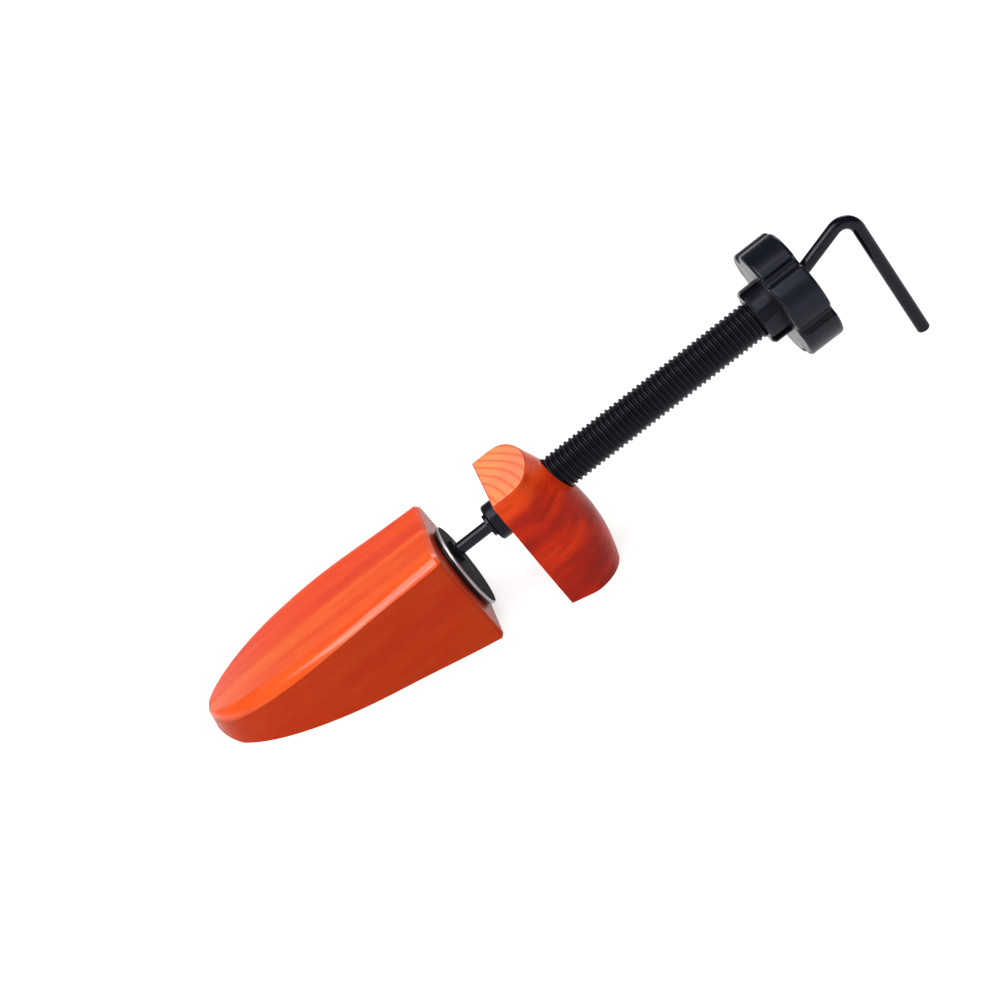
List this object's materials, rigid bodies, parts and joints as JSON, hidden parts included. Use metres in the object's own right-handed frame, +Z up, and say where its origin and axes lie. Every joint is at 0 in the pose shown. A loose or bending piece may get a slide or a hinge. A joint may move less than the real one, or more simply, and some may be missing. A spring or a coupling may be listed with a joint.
{
  "type": "shoe stretcher",
  "caption": "Shoe stretcher with a split wooden toe block spread by a hooked drive rod, and a wooden heel block driven along a threaded tube by a lobed knob.",
  "frame": {"origin": "on the sole plane, under the middle of the whole object's bounding box at rest", "axes": "+X from the toe towards the hook, +Y to the wearer's right, +Z up from the sole plane"},
  "size_m": [0.3586, 0.075, 0.1072],
  "materials": {
    "lacquered_wood": "gloss lacquer",
    "black_plastic": "satin",
    "gloss_black_plastic": "gloss",
    "black_steel": "gloss black",
    "bright_steel": "zinc plated",
    "bronze": "sintered bronze"
  },
  "bodies": {
    "toe_carrier": {"toe_carrier": "black_plastic", "thrust_plate": "bright_steel", "plate_screws": "black_steel", "guide_rods": "bright_steel", "rod_bush": "bronze"},
    "wedge": {"spreader_wedge": "black_plastic", "wedge_nut": "bright_steel"},
    "drive_rod": {"drive_rod": "black_steel", "carrier_collar": "black_steel", "front_collar": "black_steel", "rod_clip": "black_steel"},
    "screw_tube": {"threaded_tube": "black_plastic", "front_bush": "black_plastic", "rear_bush": "bronze", "knob": "gloss_black_plastic", "knob_screws": "black_steel"},
    "heel": {"heel_block": "lacquered_wood", "heel_nut": "black_plastic", "heel_nut_screws": "bright_steel"},
    "left_toe": {"left_toe_block": "lacquered_wood", "left_ramp": "bright_steel", "left_ramp_screws": "bright_steel", "left_guide_bushes": "bronze"},
    "right_toe": {"right_toe_block": "lacquered_wood", "right_ramp": "bright_steel", "right_ramp_screws": "bright_steel", "right_guide_bushes": "bronze"}
  },
  "joints": [
    {"name": "knob_turn", "type": "hinge", "parent": "toe_carrier", "child": "screw_tube", "pos_m": [0.11563, 0, 0.07668], "axis": [-0.9659, 0, -0.2588], "range_deg": [0, 12960]},
    {"name": "heel_slide", "type": "slide", "parent": "toe_carrier", "child": "heel", "axis": [0.9659, 0, 0.2588], "range_m": [0, 0.09]},
    {"name": "hook_turn", "type": "hinge", "parent": "toe_carrier", "child": "drive_rod", "pos_m": [-0.05157, 0, 0.03188], "axis": [-0.9659, 0, -0.2588], "range_deg": [0, 5760]},
    {"name": "wedge_slide", "type": "slide", "parent": "toe_carrier", "child": "wedge", "axis": [0.9659, 0, 0.2588], "range_m": [0, 0.016]},
    {"name": "left_spread", "type": "slide", "parent": "toe_carrier", "child": "left_toe", "axis": [0, -1, 0], "range_m": [0, 0.0072]},
    {"name": "right_spread", "type": "slide", "parent": "toe_carrier", "child": "right_toe", "axis": [0, 1, 0], "range_m": [0, 0.0072]}
  ],
  "couplings": [
    {"joint": "heel_slide", "follows": "knob_turn", "m_per_rad": 0.00039789},
    {"joint": "wedge_slide", "follows": "hook_turn", "m_per_rad": 0.00015915},
    {"joint": "left_spread", "follows": "hook_turn", "m_per_rad": 0.00007162},
    {"joint": "right_spread", "follows": "hook_turn", "m_per_rad": 0.00007162}
  ]
}
